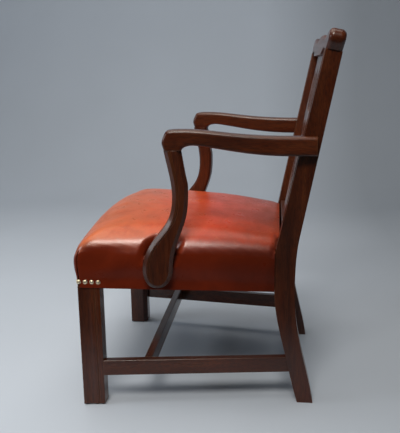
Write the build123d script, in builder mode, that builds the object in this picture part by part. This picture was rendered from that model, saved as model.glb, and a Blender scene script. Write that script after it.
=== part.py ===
from build123d import *
from math import atan2, cos, degrees, radians, sin, tan
import os

# A child's elbow chair in mahogany, in millimetres. The chair faces -Y, the sitter's left is +X and
# the floor is z = 0. Depths along the sides are measured back from the front corner of the seat.

# Seat plan
front_face = -223.2  # front faces of the front legs, from the middle of the chair's depth
front_width = 440.0  # across the front legs
rear_width = 344.0  # across the back legs at the seat
seat_depth = 350.0  # front faces of the front legs to the front faces of the back legs
seat_fall = 14.5  # the seat at the back legs below its front

# Seat rails
rail_bottom = 233.5  # at the front
rail_height = 52.0
front_rail_thickness = 20.0
side_rail_thickness = 22.0
back_rail_thickness = 32.0
back_rail_setback = 2.0  # front face of the back rail behind the front faces of the back legs
rail_shoulder = 6.0  # face of a rail to the cheek of its tenon
rail_tenon_thickness = 10.0
rail_tenon_length = 13.0
back_rail_tenon_length = 10.0

# Front legs
front_leg_size = 39.0
front_leg_inner_chamfer = 9.0
front_leg_ease = 6.0  # radius of the outer corner where the leather turns round it
flute_width = 17.0
flute_depth = 1.6
flute_centre = 14.0  # from the outer corner of the leg
quirk_width = 1.6
quirk_depth = 1.4
quirk_place = 29.5  # from the outer corner of the leg
foot_chamfer = 3.0

# Back legs, each in one piece with its stile
back_leg_width = 30.0
back_leg_depth = 36.6  # front to back at the seat
back_leg_calf_depth = 31.6  # front to back at the calf
back_foot_depth = 29.0
back_foot_sweep = 45.0  # front of the foot behind the front of the leg at the seat
back_calf_sweep = 20.4
back_calf_height = 100.0
back_knee_drop = 10.0  # the leg is upright from here under the rails to the rail tops
stile_rise = 355.0  # rail top to the front of the stile's top
stile_top_depth = 28.0
stile_top_width = 28.0
top_width = 418.0  # across the stiles under the crest rail
back_rake = 11.95  # degrees
stile_flare_radius = 400.0
stile_bend_share = 0.1  # share of the stile's height over which its back face bends
stile_bead = 4.0
stile_channel_depth = 1.2
stile_tenon_length = 14.0
stile_tenon_inset = 8.0

# Stretchers
stretcher_bottom = 60.0
stretcher_height = 29.0
stretcher_thickness = 14.5
stretcher_round = 2.0
stretcher_shoulder = 4.0
stretcher_tenon_thickness = 6.0
stretcher_tenon_length = 12.0
medial_tenon_length = 8.0
medial_setback = 111.0  # front of the cross stretcher behind the front of the front legs
rear_stretcher_setback = 9.0  # behind the front of the back leg's calf

# Arm supports
support_thickness = 26.0
support_setback = 119.6  # front of the foot along the seat side
support_lift = 6.5  # lowest point above the rail's lower edge
support_chamfer = 7.0
support_inner_chamfer = 4.0
support_tenon_width = 12.0
support_tenon_length = 14.0
support_tenon_thickness = 10.0
support_screw_setback = 27.0  # behind the front of the foot
support_screw_shares = (0.3, 0.7)  # of the rail's height
# Outline from the joint down the front, round the foot and up the back, each point as its depth
# behind the front of the foot and its share of the support's height
support_outline = [
    (41.0, 1.0),
    (53.8, 0.696),
    (44.0, 0.488),
    (20.0, 0.358),
    (3.4, 0.229),
    (0.4, 0.1),
    (13.0, 0.0125),
    (34.0, 0.006),
    (48.0, 0.067),
    (53.0, 0.196),
    (64.0, 0.371),
    (79.5, 0.575),
    (81.5, 0.733),
    (71.0, 1.0),
]
reed_count = 2
reed_width = 1.4
reed_depth = 1.0
reed_pitch = 3.2
arm_joint_height = 244.5  # joint under the arm above the rail's lower edge

# Arms
arm_thickness = 26.0
arm_lap = 14.0  # wood outside the stile
arm_end_setback = 6.0  # arm's end short of the back of the stile
arm_round = 6.0
arm_lower_round = 5.0
arm_rear_top = 22.0  # above the joint
arm_rear_bottom = -10.5
arm_nose = [(-18.0, 13.0), (-13.0, 28.0), (8.0, 35.0)]  # from the middle of the joint
arm_crook = [(47.0, 7.0), (27.0, 7.6), (18.5, 4.4)]  # hollow behind the joint
# Top and underside, each point as its share of the arm's length and its height above the joint
arm_top = [(0.403, 28.0), (0.607, 24.0)]
arm_underside = [(0.68, -9.2), (0.403, -1.2)]

# Crest rail
crest_thickness = 27.4
crest_ear_rise = 33.0  # above the stile tops, square to the crest's lower face
crest_dip_rise = 21.0
crest_centre_rise = 31.0
crest_centre_drop = 8.0  # lower edge at the splat, below the stile tops
crest_ear_reach = 13.0  # ear beyond the outer face of the stile
crest_ear_round = 6.0  # top of the ear in from the outer face of the stile
crest_ear_heel = 2.0  # foot of the ear beyond the outer face of the stile
crest_swell_share = 0.25  # of the half width, where the middle begins to fall
crest_dip_share = 0.517
crest_neck_share = 0.775
crest_swell_fall = 4.0
crest_neck_fall = 6.0
crest_arch_share = 0.646
crest_arch_rise = 3.0
crest_cheek = 4.0  # wood beside the splat
crest_back_round = 9.0
crest_front_round = 7.0

# Splat and shoe
splat_thickness = 9.0
splat_setback = 8.0  # front of the splat behind the fronts of the stiles
splat_top_width = 160.0
splat_shoulder_inset = 5.0
splat_shoulder_height = 52.0  # above the waist
splat_flank_inset = 1.0
splat_flank_height = 90.0  # above the waist
splat_waist_width = 66.0
splat_waist_height = 168.0  # above the splat's foot
splat_bowl_width = 124.0
splat_bowl_height = 95.0
splat_ankle_width = 86.0
splat_ankle_height = 32.0
splat_foot_width = 96.0
splat_seat = 8.0  # depth held in the crest rail
splat_edge = 0.8
# Lancets: place across, width, and how far the foot and the springing are below the splat's top
lancets = [
    (0.0, 19.0, 115.0, 46.0),
    (30.0, 19.0, 113.0, 54.0),
    (-30.0, 19.0, 113.0, 54.0),
    (59.0, 17.0, 100.0, 48.0),
    (-59.0, 17.0, 100.0, 48.0),
]
middle_leaf_width = 22.0
middle_leaf_low = 40.0  # above the splat's foot
middle_leaf_high = 12.0  # below the waist
side_leaf_low = 50.0
side_leaf_high = 20.0
side_leaf_inner = 21.5  # from the middle of the splat
side_leaf_outer = 50.0
side_leaf_bow = 0.5  # bend of its inner edge
ring_radius = 9.0
ring_height = 22.0  # above the waist
eye_radius = 5.0
eye_height = 30.0
eye_spread = 24.0
shoe_height = 35.0
shoe_front_setback = 8.0  # front of the shoe behind the front faces of the back legs
shoe_slope = 4.0
shoe_hollow = 3.0  # middle of the front face behind its foot
shoe_socket = 12.0

# Seat
strap_thickness = 1.5
strap_width = 45.0
strap_count = 3
strap_inset = 4.0
hessian_thickness = 1.0
leather = 1.5
hem_width = 13.0
hem_thickness = 1.2
seat_crown_height = 108.0  # middle of the seat above the rails' lower edges
seat_dome_radius = 1400.0  # across the seat
seat_edge_round = 17.0
seat_bulge = 7.0  # sides of the seat beyond the rails
seat_side_height = 25.0  # the sides stay full to here above the rails
seat_swell = 2.5  # sides beyond the rails where they begin to swell
seat_swell_height = 21.0
seat_draw_in = 18.0  # how far the sides would lean in at twice the crown's height
seat_bow = 3.0  # bend of the sides in plan
seat_swell_bow = 1.5
seat_foot_bow = 0.3
seat_top_round = 28.0  # corners in plan, from the top down
seat_shoulder_round = 20.0
seat_corner_round = 14.0
seat_swell_round = 7.0
seat_foot_round = 4.2
leather_folds = 4.0  # layers of leather where it folds at the front corners

# Fasteners
nail_radius = 4.4
nail_dome = 2.6
nail_shank_radius = 0.9
nail_shank_length = 7.0
nail_pitch = 11.5
nail_height = 10.0  # above the rail's lower edge
side_nail_count = 4
side_nail_start = 3.0
front_nail_count = 3
front_nail_start = 8.0
screw_radius = 2.2
screw_head_radius = 4.2
screw_head_height = 2.2
support_screw_length = 34.0
arm_screw_length = 38.0
arm_screw_sink = 1.0  # head below the inner face of the stile
block_screw_length = 32.0
block_reach = 34.0  # corner block along each rail from the leg
block_height = 30.0
block_lift = 8.0

# Worked out from the sizes above
half_front = front_width / 2
half_rear = rear_width / 2
side_angle = degrees(atan2(half_front - half_rear, seat_depth))
side_run = seat_depth / cos(radians(side_angle))
seat_back = front_face + seat_depth
rail_top = rail_bottom + rail_height
end_rail_height = rail_height + strap_thickness
webbing_height = rail_height + 2 * strap_thickness
hessian_height = webbing_height + hessian_thickness
leg_back = front_face + front_leg_size
stile_length = stile_rise / cos(radians(back_rake))
stile_top_y = seat_back + stile_rise * tan(radians(back_rake))
stile_top_z = rail_top + stile_rise
back_rail_front = seat_back + back_rail_setback
shoe_front = seat_back + shoe_front_setback
shoe_back = back_rail_front + back_rail_thickness
half_between_legs = half_rear - back_leg_width
arm_joint = rail_bottom + arm_joint_height

# The vertical plane of the left seat side, drawn in depth and height, facing out
side_plane = Plane(
    origin=(half_front, front_face, 0),
    x_dir=(-sin(radians(side_angle)), cos(radians(side_angle)), 0),
    z_dir=(cos(radians(side_angle)), sin(radians(side_angle)), 0),
)
# The raked plane of the stile fronts, drawn across and up the back, facing forward
back_plane = Plane(
    origin=(0, seat_back, rail_top),
    x_dir=(1, 0, 0),
    z_dir=(0, -cos(radians(back_rake)), sin(radians(back_rake))),
)


def side_x(y, inset=0.0):
    """Half width of the seat frame at a depth, less an inset square to the side."""
    along = (y - front_face) * tan(radians(side_angle))
    return half_front - along - inset / cos(radians(side_angle))


def fallen(y):
    """How far the seat has fallen at a depth."""
    return (y - front_face) * seat_fall / seat_depth


def seat_slab(low, high):
    """The space between two heights above the rails' lower edges, falling to the rear."""
    front = front_face - front_width
    back = seat_back + front_width
    with BuildPart() as slab:
        with BuildSketch(Plane.YZ):
            with BuildLine():
                Polyline(
                    (front, rail_bottom + low - fallen(front)),
                    (back, rail_bottom + low - fallen(back)),
                    (back, rail_bottom + high - fallen(back)),
                    (front, rail_bottom + high - fallen(front)),
                    close=True,
                )
            make_face()
        extrude(amount=front_width, both=True)
    return slab


def seat_layer(plan, low, high):
    """A layer of the seat over a plan, between two heights above the rails' lower edges."""
    with BuildPart() as layer:
        with BuildSketch():
            add(plan)
        extrude(amount=2 * rail_top)
        add(seat_slab(low, high).part, mode=Mode.INTERSECT)
    return layer


def stile_outer_x(z):
    """Outer face of the left stile at a height above the rails."""
    return half_rear + (top_width / 2 - half_rear) * (z - rail_top) / stile_rise


def right_of(piece):
    """The same piece on the sitter's right."""
    with BuildPart() as other:
        mirror(piece.part, about=Plane.YZ)
    return other


def cut_by(piece, *cutters):
    """A piece with the places of other pieces cut out of it."""
    with BuildPart() as cut:
        add(piece.part)
        for cutter in cutters:
            add(cutter.part, mode=Mode.SUBTRACT)
    return cut


# Front legs

leg_plan = [
    (half_front, front_face),
    (side_x(leg_back), leg_back),
    (half_front - front_leg_size, leg_back),
    (half_front - front_leg_size, front_face),
]
flute_radius = (flute_width**2 / 4 + flute_depth**2) / (2 * flute_depth)

with BuildSketch() as leg_section:
    with BuildLine():
        Polyline(*leg_plan, close=True)
    make_face()
    inner_corner = vertices().sort_by(Axis.X)[:2].sort_by(Axis.Y)[-1]
    chamfer(inner_corner, front_leg_inner_chamfer)

with BuildSketch() as eased_section:
    add(leg_section.sketch)
    outer_corner = vertices().sort_by(Axis.Y)[:2].sort_by(Axis.X)[-1]
    fillet(outer_corner, front_leg_ease)

with BuildPart() as front_leg_square:
    extrude(leg_section.sketch, amount=rail_bottom + end_rail_height)
    add(seat_slab(end_rail_height, 2 * rail_height).part, mode=Mode.SUBTRACT)

with BuildPart() as leg_corner_waste:
    with BuildSketch(Plane.XY.offset(rail_bottom)):
        add(leg_section.sketch)
        add(eased_section.sketch, mode=Mode.SUBTRACT)
    extrude(amount=end_rail_height)

with BuildPart() as front_leg_eased:
    add(front_leg_square.part)
    add(leg_corner_waste.part, mode=Mode.SUBTRACT)

with BuildPart() as front_leg_moulded:
    add(front_leg_eased.part)
    with BuildSketch() as front_flute:
        with Locations((half_front - flute_centre, front_face - flute_radius + flute_depth)):
            Circle(flute_radius)
        with Locations((half_front - quirk_place, front_face)):
            Rectangle(quirk_width, 2 * quirk_depth)
    extrude(amount=rail_bottom - hem_thickness, mode=Mode.SUBTRACT)
    with BuildSketch() as side_flute:
        with Locations(Location((half_front, front_face), side_angle)):
            with Locations((flute_radius - flute_depth, flute_centre)):
                Circle(flute_radius)
            with Locations((0, quirk_place)):
                Rectangle(2 * quirk_depth, quirk_width)
    extrude(amount=rail_bottom - hem_thickness, mode=Mode.SUBTRACT)
    chamfer(faces().sort_by(Axis.Z)[0].edges(), foot_chamfer)

# Back legs

with BuildSketch(Plane.YZ.offset(half_between_legs)) as back_leg_side:
    with BuildLine():
        knee = rail_bottom - back_knee_drop
        foot_front = (seat_back + back_foot_sweep, 0)
        foot_back = (seat_back + back_foot_sweep + back_foot_depth, 0)
        calf_front = (seat_back + back_calf_sweep, back_calf_height)
        calf_back = (seat_back + back_calf_sweep + back_leg_calf_depth, back_calf_height)
        rear_face = seat_back + back_leg_depth
        top_drop = stile_top_depth * sin(radians(back_rake)) * cos(radians(back_rake))
        top_back = (
            stile_top_y + stile_top_depth * cos(radians(back_rake)) ** 2,
            stile_top_z - top_drop,
        )
        Spline(foot_front, calf_front, (seat_back, knee), tangents=((-0.3, 1), (0, 1)))
        Line((seat_back, knee), (seat_back, rail_top))
        Line((seat_back, rail_top), (stile_top_y, stile_top_z))
        Line((stile_top_y, stile_top_z), top_back)
        rear_slope = (top_back[0] - rear_face, top_back[1] - rail_top)
        bend = (
            rear_face + stile_bend_share * rear_slope[0],
            rail_top + stile_bend_share * rear_slope[1],
        )
        Line(top_back, bend)
        Spline(bend, (rear_face, knee), tangents=((-rear_slope[0], -rear_slope[1]), (0, -1)))
        Spline((rear_face, knee), calf_back, foot_back, tangents=((0, -1), (0.15, -1)))
        Line(foot_back, foot_front)
    make_face()

with BuildPart() as back_leg_blank:
    extrude(back_leg_side.sketch, amount=front_width)
    with BuildSketch(Plane.XZ):
        with BuildLine():
            Polyline(
                (half_rear, 0),
                (half_rear, rail_top),
                (top_width / 2, stile_top_z),
                (top_width / 2 - stile_top_width, stile_top_z),
                (half_between_legs, rail_top),
                (half_between_legs, 0),
                close=True,
            )
        make_face()
        flare_corners = vertices().sort_by(Axis.Y)[2:4]
        fillet(flare_corners, stile_flare_radius)
    extrude(amount=front_width, both=True, mode=Mode.INTERSECT)

with BuildPart() as stile_channel:
    with BuildSketch(back_plane.offset(-stile_channel_depth)):
        with BuildLine():
            low_x = stile_outer_x(rail_bottom + seat_crown_height)
            low = (rail_bottom + seat_crown_height - rail_top) / cos(radians(back_rake))
            Polyline(
                (low_x - stile_bead, low),
                (top_width / 2 - stile_bead, stile_length),
                (top_width / 2 - stile_top_width + stile_bead, stile_length),
                (low_x - back_leg_width + stile_bead, low),
                close=True,
            )
        make_face()
    extrude(amount=2 * stile_channel_depth)

with BuildPart() as stile_tenon:
    tenon_width = stile_top_width - 2 * stile_tenon_inset
    tenon_depth = crest_thickness - 2 * stile_tenon_inset
    with BuildSketch(back_plane.offset(-stile_tenon_inset)):
        with Locations((top_width / 2 - stile_top_width / 2, stile_length)):
            Rectangle(tenon_width, 2 * stile_tenon_length)
    extrude(amount=-tenon_depth)

# Seat rails

with BuildPart() as side_rail_tenon:
    with BuildSketch(side_plane.offset(-rail_shoulder)):
        with Locations((front_leg_size - rail_tenon_length, 0)):
            Rectangle(
                side_run - front_leg_size + 2 * rail_tenon_length,
                rail_top,
                align=(Align.MIN, Align.MIN),
            )
    extrude(amount=-rail_tenon_thickness)
    add(seat_slab(rail_shoulder, rail_height - rail_shoulder).part, mode=Mode.INTERSECT)

with BuildPart() as side_seat_rail_left:
    with BuildSketch(side_plane):
        with Locations((front_leg_size / 2, 0)):
            Rectangle(side_run, rail_top, align=(Align.MIN, Align.MIN))
    extrude(amount=-side_rail_thickness)
    add(seat_slab(0, rail_height).part, mode=Mode.INTERSECT)
    add(front_leg_square.part, mode=Mode.SUBTRACT)
    add(back_leg_blank.part, mode=Mode.SUBTRACT)
    add(side_rail_tenon.part)

with BuildSketch() as front_rail_plan:
    with Locations((0, front_face)):
        Rectangle(
            front_width - 2 * front_leg_size,
            front_rail_thickness,
            align=(Align.CENTER, Align.MIN),
        )

with BuildPart() as front_seat_rail:
    add(seat_layer(front_rail_plan.sketch, 0, end_rail_height).part)
    with BuildSketch(Plane.XZ.offset(-front_face - rail_shoulder)):
        with Locations((0, rail_bottom + rail_shoulder)):
            Rectangle(
                front_width - 2 * front_leg_size + 2 * rail_tenon_length,
                rail_height - 2 * rail_shoulder,
                align=(Align.CENTER, Align.MIN),
            )
    extrude(amount=-rail_tenon_thickness)

with BuildSketch() as back_rail_plan:
    with Locations((0, back_rail_front)):
        Rectangle(2 * half_between_legs, back_rail_thickness, align=(Align.CENTER, Align.MIN))

with BuildPart() as back_seat_rail:
    back_rail_middle = back_rail_front + back_rail_thickness / 2
    add(seat_layer(back_rail_plan.sketch, 0, end_rail_height).part)
    with BuildSketch(Plane.XZ.offset(-back_rail_middle)):
        with Locations((0, rail_bottom - fallen(back_rail_middle) + rail_shoulder)):
            Rectangle(
                2 * half_between_legs + 2 * back_rail_tenon_length,
                rail_height - 2 * rail_shoulder,
                align=(Align.CENTER, Align.MIN),
            )
    extrude(amount=-rail_tenon_thickness)

# Stretchers

with BuildPart() as side_stretcher_left:
    reach = side_run + back_calf_sweep
    with BuildSketch(side_plane):
        with Locations((front_leg_size / 2, stretcher_bottom)):
            Rectangle(reach, stretcher_height, align=(Align.MIN, Align.MIN))
    extrude(amount=-stretcher_thickness)
    lengthwise = Axis((0, 0, 0), tuple(side_plane.x_dir))
    fillet(edges().filter_by(lengthwise).group_by(Axis.Z)[-1], stretcher_round)
    add(front_leg_square.part, mode=Mode.SUBTRACT)
    add(back_leg_blank.part, mode=Mode.SUBTRACT)
    with BuildSketch(side_plane.offset(-stretcher_shoulder)):
        with Locations((front_leg_size - stretcher_tenon_length, stretcher_bottom + stretcher_shoulder)):
            Rectangle(
                reach - front_leg_size + 2 * stretcher_tenon_length,
                stretcher_height - 2 * stretcher_shoulder,
                align=(Align.MIN, Align.MIN),
            )
    extrude(amount=-stretcher_tenon_thickness)

with BuildPart() as medial_stretcher:
    medial_front = front_face + medial_setback
    medial_half = side_x(medial_front + stretcher_thickness, stretcher_thickness)
    with BuildSketch(Plane.XY.offset(stretcher_bottom)):
        with BuildLine():
            front_half = side_x(medial_front, stretcher_thickness)
            Polyline(
                (-front_half, medial_front),
                (front_half, medial_front),
                (medial_half, medial_front + stretcher_thickness),
                (-medial_half, medial_front + stretcher_thickness),
                close=True,
            )
        make_face()
    extrude(amount=stretcher_height)
    fillet(edges().filter_by(Axis.X).group_by(Axis.Z)[-1], stretcher_round)
    with BuildSketch(Plane.XY.offset(stretcher_bottom + stretcher_shoulder)):
        with Locations((0, medial_front + stretcher_thickness / 2)):
            Rectangle(2 * (medial_half + medial_tenon_length), stretcher_tenon_thickness)
    extrude(amount=stretcher_height - 2 * stretcher_shoulder)

with BuildPart() as rear_stretcher:
    rear_front = seat_back + back_calf_sweep + rear_stretcher_setback
    with BuildSketch(Plane.XZ.offset(-rear_front)):
        with Locations((0, stretcher_bottom)):
            Rectangle(2 * half_between_legs, stretcher_height, align=(Align.CENTER, Align.MIN))
    extrude(amount=-stretcher_thickness)
    fillet(edges().filter_by(Axis.X).group_by(Axis.Z)[-1], stretcher_round)
    with BuildSketch(Plane.XZ.offset(-rear_front - stretcher_shoulder)):
        with Locations((0, stretcher_bottom + stretcher_shoulder)):
            Rectangle(
                2 * (half_between_legs + stretcher_tenon_length),
                stretcher_height - 2 * stretcher_shoulder,
                align=(Align.CENTER, Align.MIN),
            )
    extrude(amount=-stretcher_tenon_thickness)

# Arm supports: an S drawn on the seat side

foot_z = rail_bottom + support_lift - fallen(front_face + support_setback)
neck_front = support_outline[0][0]
neck_back = support_outline[-1][0]
neck_half = (neck_back - neck_front) / 2
joint_middle = support_setback + (neck_front + neck_back) / 2

with BuildSketch() as support_section:
    with BuildLine():
        points = [
            (support_setback + depth, foot_z + share * (arm_joint - foot_z))
            for depth, share in support_outline
        ]
        outline = Spline(*points, tangents=((0.2, -1), (-0.15, 1)))
        Line(outline @ 1, outline @ 0)
    make_face()

with BuildPart() as arm_support_blank:
    with BuildSketch(side_plane):
        add(support_section.sketch)
    extrude(amount=support_thickness)
    outward = Axis((0, 0, 0), tuple(side_plane.z_dir))
    chamfer(faces().sort_by(outward)[-1].edges().filter_by(GeomType.BSPLINE), support_chamfer)
    chamfer(faces().sort_by(outward)[0].edges().filter_by(GeomType.BSPLINE), support_inner_chamfer)

with BuildPart() as reed_grooves:
    for place in range(reed_count):
        front = support_chamfer + place * reed_pitch
        with BuildSketch(side_plane.offset(support_thickness - reed_depth)):
            with Locations((front, 0)):
                add(support_section.sketch)
            with Locations((front + reed_width, 0)):
                add(support_section.sketch, mode=Mode.SUBTRACT)
        extrude(amount=2 * reed_depth)

with BuildPart() as arm_support_left:
    add(arm_support_blank.part)
    add(reed_grooves.part, mode=Mode.SUBTRACT)
    with BuildSketch(side_plane.offset(support_thickness / 2 - support_tenon_thickness / 2)):
        with Locations((joint_middle, arm_joint)):
            Rectangle(support_tenon_width, 2 * support_tenon_length)
    extrude(amount=support_tenon_thickness)

# Arms

front_point = side_plane.from_local_coords((joint_middle, 0, support_thickness))
arm_level = arm_joint + (arm_rear_top + arm_rear_bottom) / 2
stile_back_y = rear_face + rear_slope[0] * (arm_level - rail_top) / rear_slope[1]
arm_end_y = stile_back_y - arm_end_setback
rear_point = Vector(stile_outer_x(arm_level) + arm_lap, arm_end_y, 0)
arm_line = rear_point - Vector(front_point.X, front_point.Y, 0)
arm_length = arm_line.length
arm_plane = Plane(
    origin=(front_point.X, front_point.Y, arm_joint),
    x_dir=(arm_line.X, arm_line.Y, 0),
    z_dir=(arm_line.Y, -arm_line.X, 0),
)

with BuildPart() as arm_blank:
    with BuildSketch(arm_plane):
        with BuildLine():
            rear_high = (arm_length, arm_rear_top)
            rear_low = (arm_length, arm_rear_bottom)
            top_points = [(share * arm_length, height) for share, height in arm_top]
            underside_points = [(share * arm_length, height) for share, height in arm_underside]
            nose = Spline((-neck_half, 0), *arm_nose, tangents=((-0.2, 1), (1, 0.02)))
            Spline(nose @ 1, *top_points, rear_high, tangents=(nose % 1, (1, 0)))
            Line(rear_high, rear_low)
            Spline(
                rear_low,
                *underside_points,
                *arm_crook,
                (neck_half, 0),
                tangents=((-1, 0), (-0.15, -1)),
            )
            Line((neck_half, 0), (-neck_half, 0))
        make_face()
    extrude(amount=-arm_thickness)
    across = Axis((0, 0, 0), tuple(arm_plane.z_dir))
    for height_place, radius in ((-1, arm_round), (0, arm_lower_round)):
        cheeks = faces().filter_by(GeomType.PLANE).sort_by(across)
        near = cheeks[-1].edges().filter_by(GeomType.BSPLINE).sort_by(Axis.Z)[height_place]
        far = cheeks[0].edges().filter_by(GeomType.BSPLINE).sort_by(Axis.Z)[height_place]
        fillet([near, far], radius)

# Splat, drawn on its own raked plane up from the rail tops

splat_plane = back_plane.offset(-splat_setback)
splat_foot = shoe_height - shoe_socket
splat_top = stile_length - crest_centre_drop + splat_seat
waist = splat_foot + splat_waist_height


def lancet(centre, half, low, spring):
    """A tall opening with a round foot and a pointed arch struck from its own springing points."""
    point = (centre, spring + half * 3**0.5)
    flank = half * (3**0.5 - 1)
    with BuildSketch() as drawn:
        with BuildLine():
            Line((centre - half, low + half), (centre - half, spring))
            ThreePointArc((centre - half, spring), (centre - flank, spring + half), point)
            ThreePointArc(point, (centre + flank, spring + half), (centre + half, spring))
            Line((centre + half, spring), (centre + half, low + half))
            ThreePointArc((centre + half, low + half), (centre, low), (centre - half, low + half))
        make_face()
    return drawn.sketch


def leaf(low, high, inner, outer):
    """A pointed opening between two arcs that meet at its lower and upper ends."""
    with BuildSketch() as drawn:
        with BuildLine():
            ThreePointArc(low, inner, high)
            ThreePointArc(high, outer, low)
        make_face()
    return drawn.sketch


with BuildPart() as splat:
    with BuildSketch(splat_plane):
        with BuildLine():
            half_foot = splat_foot_width / 2
            half_bowl = splat_bowl_width / 2
            half_waist = splat_waist_width / 2
            half_top = splat_top_width / 2
            edge = Spline(
                (half_foot, splat_foot),
                (splat_ankle_width / 2, splat_foot + splat_ankle_height),
                (half_bowl, splat_foot + splat_bowl_height),
                (half_waist, waist),
                (half_top - splat_shoulder_inset, waist + splat_shoulder_height),
                tangents=((-0.1, 1), (0.4, 1)),
            )
            flank = (half_top - splat_flank_inset, waist + splat_flank_height)
            ThreePointArc(edge @ 1, flank, (half_top, splat_top))
            Line((half_top, splat_top), (0, splat_top))
            Line((half_foot, splat_foot), (0, splat_foot))
            mirror(about=Plane.YZ)
        make_face()
        widest = splat_foot + splat_bowl_height
        openings = [
            leaf(
                (0, splat_foot + middle_leaf_low),
                (0, waist - middle_leaf_high),
                (-middle_leaf_width / 2, widest),
                (middle_leaf_width / 2, widest),
            )
        ]
        for centre, width, low, spring in lancets:
            openings.append(lancet(centre, width / 2, splat_top - low, splat_top - spring))
        for side in (1, -1):
            openings.append(
                leaf(
                    (side * side_leaf_inner, splat_foot + side_leaf_low),
                    (side * side_leaf_inner, waist - side_leaf_high),
                    (side * (side_leaf_inner + side_leaf_bow), widest),
                    (side * side_leaf_outer, widest),
                )
            )
        add(openings, mode=Mode.SUBTRACT)
        with Locations((0, waist + ring_height)):
            Circle(ring_radius, mode=Mode.SUBTRACT)
        with Locations((eye_spread, waist + eye_height), (-eye_spread, waist + eye_height)):
            Circle(eye_radius, mode=Mode.SUBTRACT)
    extrude(amount=-splat_thickness)
    forward = Axis((0, 0, 0), tuple(back_plane.z_dir))
    chamfer(faces().sort_by(forward)[-1].outer_wire().edges(), splat_edge)

# Crest rail, drawn on the plane of the stile fronts

with BuildPart() as crest_blank:
    with BuildSketch(back_plane):
        with BuildLine():
            half_crest = top_width / 2
            half_held = splat_top_width / 2 + crest_cheek
            ear_top = (half_crest - crest_ear_round, stile_length + crest_ear_rise)
            ear_heel = (half_crest + crest_ear_heel, stile_length)
            stile_inner = (half_crest - stile_top_width, stile_length)
            held = (half_held, stile_length - crest_centre_drop)
            Spline(
                (0, stile_length + crest_centre_rise),
                (half_crest * crest_swell_share, stile_length + crest_centre_rise - crest_swell_fall),
                (half_crest * crest_dip_share, stile_length + crest_dip_rise),
                (half_crest * crest_neck_share, stile_length + crest_ear_rise - crest_neck_fall),
                ear_top,
                tangents=((1, 0), (1, 0)),
            )
            Spline(
                ear_top,
                (half_crest + crest_ear_reach, stile_length + crest_ear_rise / 2),
                ear_heel,
                tangents=((1, 0), (-0.7, -1)),
            )
            Line(ear_heel, stile_inner)
            Spline(
                stile_inner,
                (half_crest * crest_arch_share, stile_length + crest_arch_rise),
                held,
                tangents=((-1, 0.1), (-1, 0)),
            )
            Line(held, (0, stile_length - crest_centre_drop))
            mirror(about=Plane.YZ)
        make_face()
    extrude(amount=-crest_thickness)
    for face_place, radius in ((-1, crest_front_round), (0, crest_back_round)):
        rim = faces().filter_by(GeomType.PLANE).sort_by(forward)[face_place].edges()
        fillet(rim.filter_by(lambda e: (e @ 0.5).Z > stile_top_z + crest_front_round), radius)

# Shoe

with BuildPart() as shoe_blank:
    shoe_top = rail_top + shoe_height
    shoe_middle = rail_top + shoe_height / 2
    with BuildSketch(Plane.YZ):
        with BuildLine():
            Polyline(
                (shoe_front, rail_top),
                (shoe_front, rail_bottom),
                (shoe_back, rail_bottom),
                (shoe_back, shoe_top),
                (shoe_front + shoe_slope, shoe_top),
            )
            ThreePointArc(
                (shoe_front + shoe_slope, shoe_top),
                (shoe_front + shoe_hollow, shoe_middle),
                (shoe_front, rail_top),
            )
        make_face()
    extrude(amount=half_rear, both=True)
    add(seat_slab(0, end_rail_height).part, mode=Mode.SUBTRACT)

# Webbing and hessian

with BuildSketch() as cross_straps:
    clear_depth = back_rail_front - front_face - front_rail_thickness
    for place in range(strap_count):
        middle = front_face + front_rail_thickness + clear_depth * (place + 0.5) / strap_count
        front_edge = middle - strap_width / 2
        back_edge = middle + strap_width / 2
        with BuildLine():
            Polyline(
                (side_x(front_edge, strap_inset), front_edge),
                (side_x(back_edge, strap_inset), back_edge),
                (-side_x(back_edge, strap_inset), back_edge),
                (-side_x(front_edge, strap_inset), front_edge),
                close=True,
            )
        make_face()
webbing_crosswise = seat_layer(cross_straps.sketch, rail_height, end_rail_height)

with BuildSketch() as length_straps:
    strap_length = shoe_front - front_face - strap_inset
    strap_pitch = 2 * half_between_legs / strap_count
    with Locations((0, front_face + strap_inset + strap_length / 2)):
        with GridLocations(strap_pitch, strap_length, strap_count, 1):
            Rectangle(strap_width, strap_length)
webbing_lengthwise = seat_layer(length_straps.sketch, end_rail_height, webbing_height)


def frame_plan(inset, back):
    """Plan of the seat frame, drawn in from its outer faces, back to a given depth."""
    front = front_face + inset
    with BuildSketch() as drawn:
        with BuildLine():
            Polyline(
                (side_x(front, inset), front),
                (side_x(back, inset), back),
                (-side_x(back, inset), back),
                (-side_x(front, inset), front),
                close=True,
            )
        make_face()
        fillet(vertices().sort_by(Axis.Y)[:2], front_leg_ease)
    return drawn.sketch


with BuildPart() as stile_place:
    extrude(back_leg_side.sketch, amount=front_width)
stile_places = (stile_place, right_of(stile_place))

hessian = cut_by(
    seat_layer(frame_plan(strap_inset, shoe_front), webbing_height, hessian_height), *stile_places
)

# Stuffed seat: bowed sections up the sides, cut off by a wide arch across and rounded over


def seat_level(rise):
    """The plane of the seat at a height above the rails' lower edges."""
    return Plane(
        origin=(0, 0, rail_bottom + rise - fallen(0)),
        x_dir=(1, 0, 0),
        z_dir=(0, seat_fall, seat_depth),
    )


def seat_section(rise, outset, bow, corner):
    """One section of the seat, a bowed trapezium with rounded corners."""
    front = front_face - outset
    back = seat_back + back_leg_depth + outset
    middle = (front + back) / 2
    front_x = side_x(front, -outset)
    back_x = side_x(back, -outset)
    middle_x = side_x(middle, -outset - bow)
    with BuildSketch(seat_level(rise)) as section:
        with BuildLine():
            ThreePointArc((-front_x, front), (0, front - bow), (front_x, front))
            ThreePointArc((front_x, front), (middle_x, middle), (back_x, back))
            ThreePointArc((back_x, back), (0, back + bow), (-back_x, back))
            ThreePointArc((-back_x, back), (-middle_x, middle), (-front_x, front))
        make_face()
        fillet(section.vertices(), corner)
    return section.sketch.faces()[0]


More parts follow.
